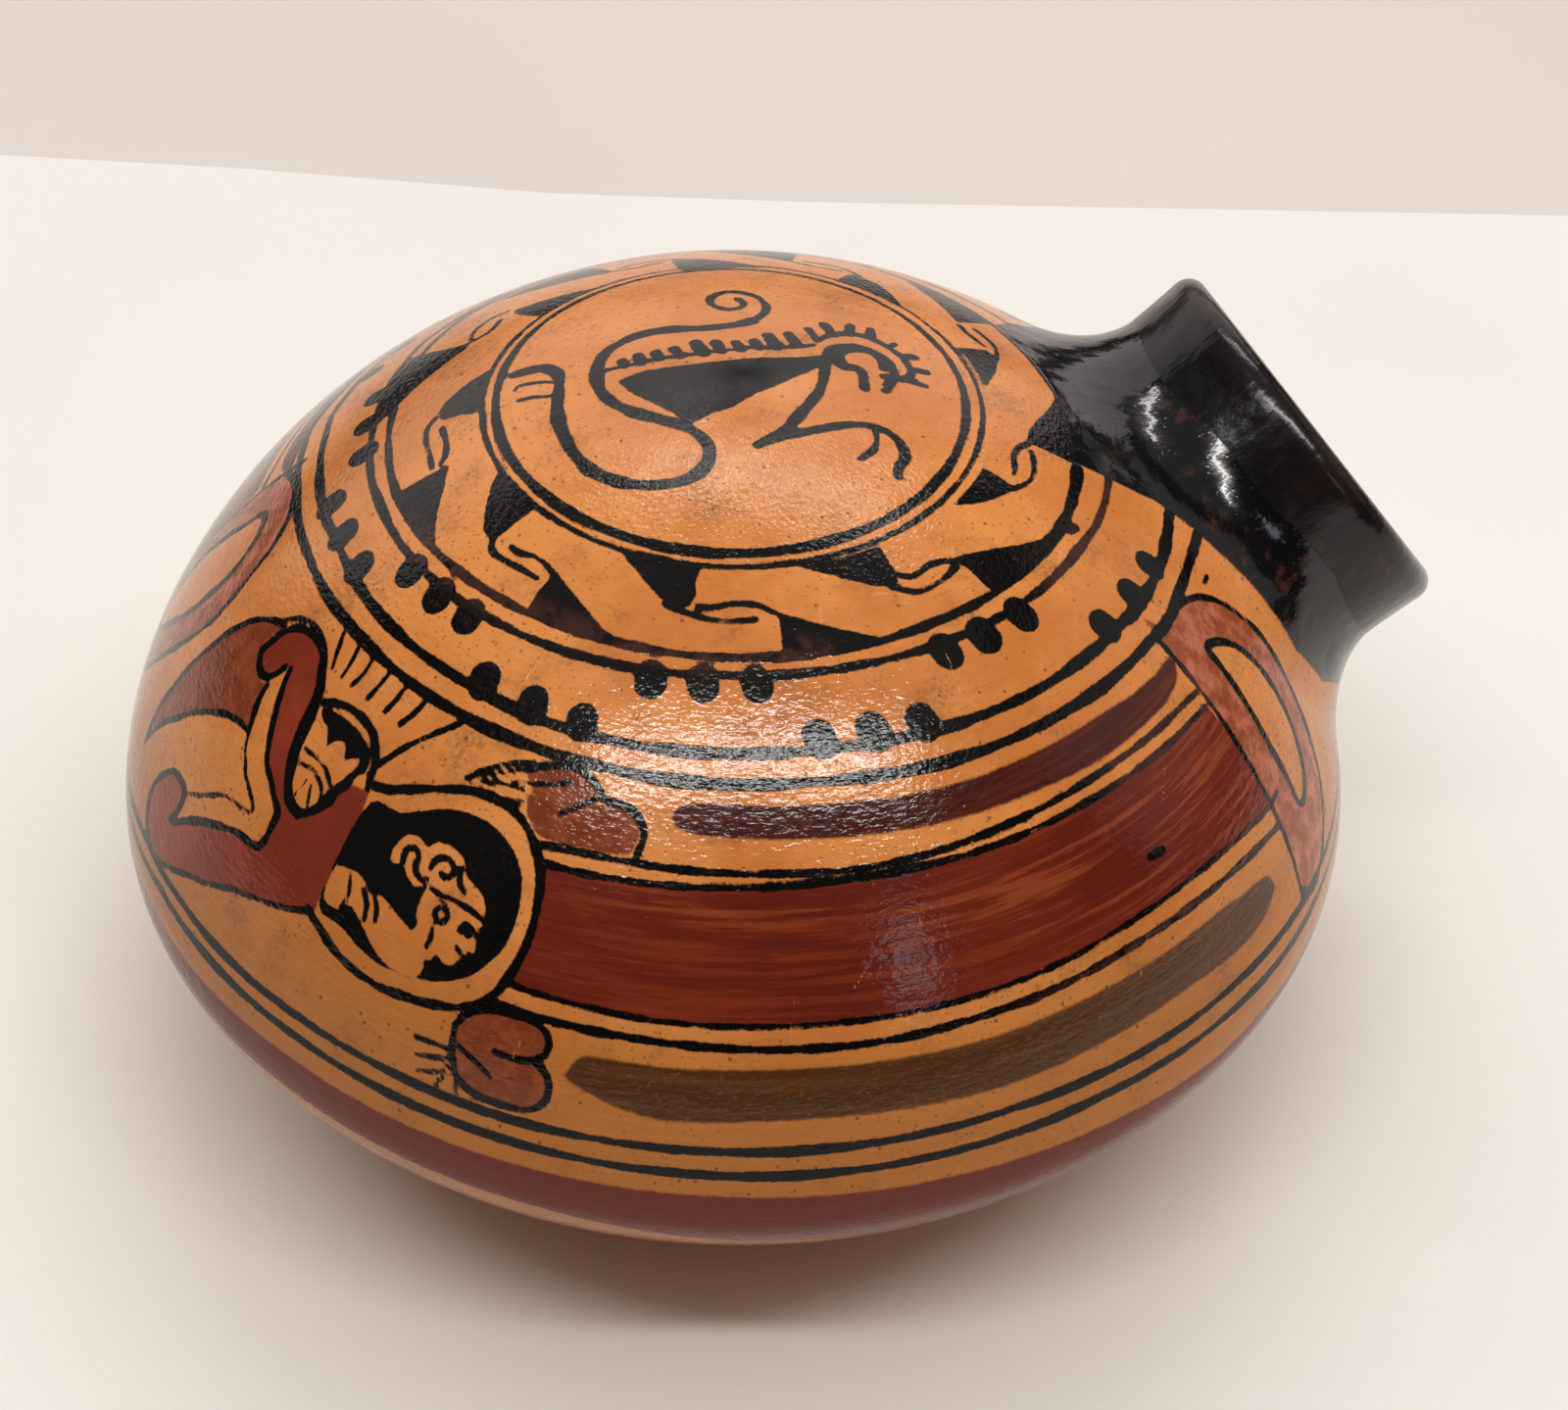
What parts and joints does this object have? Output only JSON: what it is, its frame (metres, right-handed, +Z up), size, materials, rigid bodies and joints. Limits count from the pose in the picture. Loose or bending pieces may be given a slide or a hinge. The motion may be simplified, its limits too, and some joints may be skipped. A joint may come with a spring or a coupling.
{
  "type": "pottery vase",
  "caption": "Squat round burnished clay vase on a small flat base, with a short wide black neck tilted up from its shoulder.",
  "frame": {"origin": "centre of the flat standing face, on the axis of the round body", "axes": "+Z up along the body's axis, +X towards the neck, +Y to the left of someone who looks along +X"},
  "size_m": [0.1963, 0.18, 0.1146],
  "materials": {
    "ochre_slip": "burnished orange-ochre slip with painted bands, fine specks and scratches, satin to glossy",
    "maroon_slip": "burnished maroon slip with brush streaks, satin to glossy",
    "black_slip": "polished black slip worn to red-brown in places, glossy",
    "raw_clay": "bare fired clay, matt and slightly rough"
  },
  "bodies": {
    "root": {"base_bowl": "maroon_slip", "shoulder_dome": "ochre_slip", "seam_coil": "raw_clay", "neck_collar": "black_slip", "neck_fillet_coil": "black_slip"}
  },
  "joints": []
}
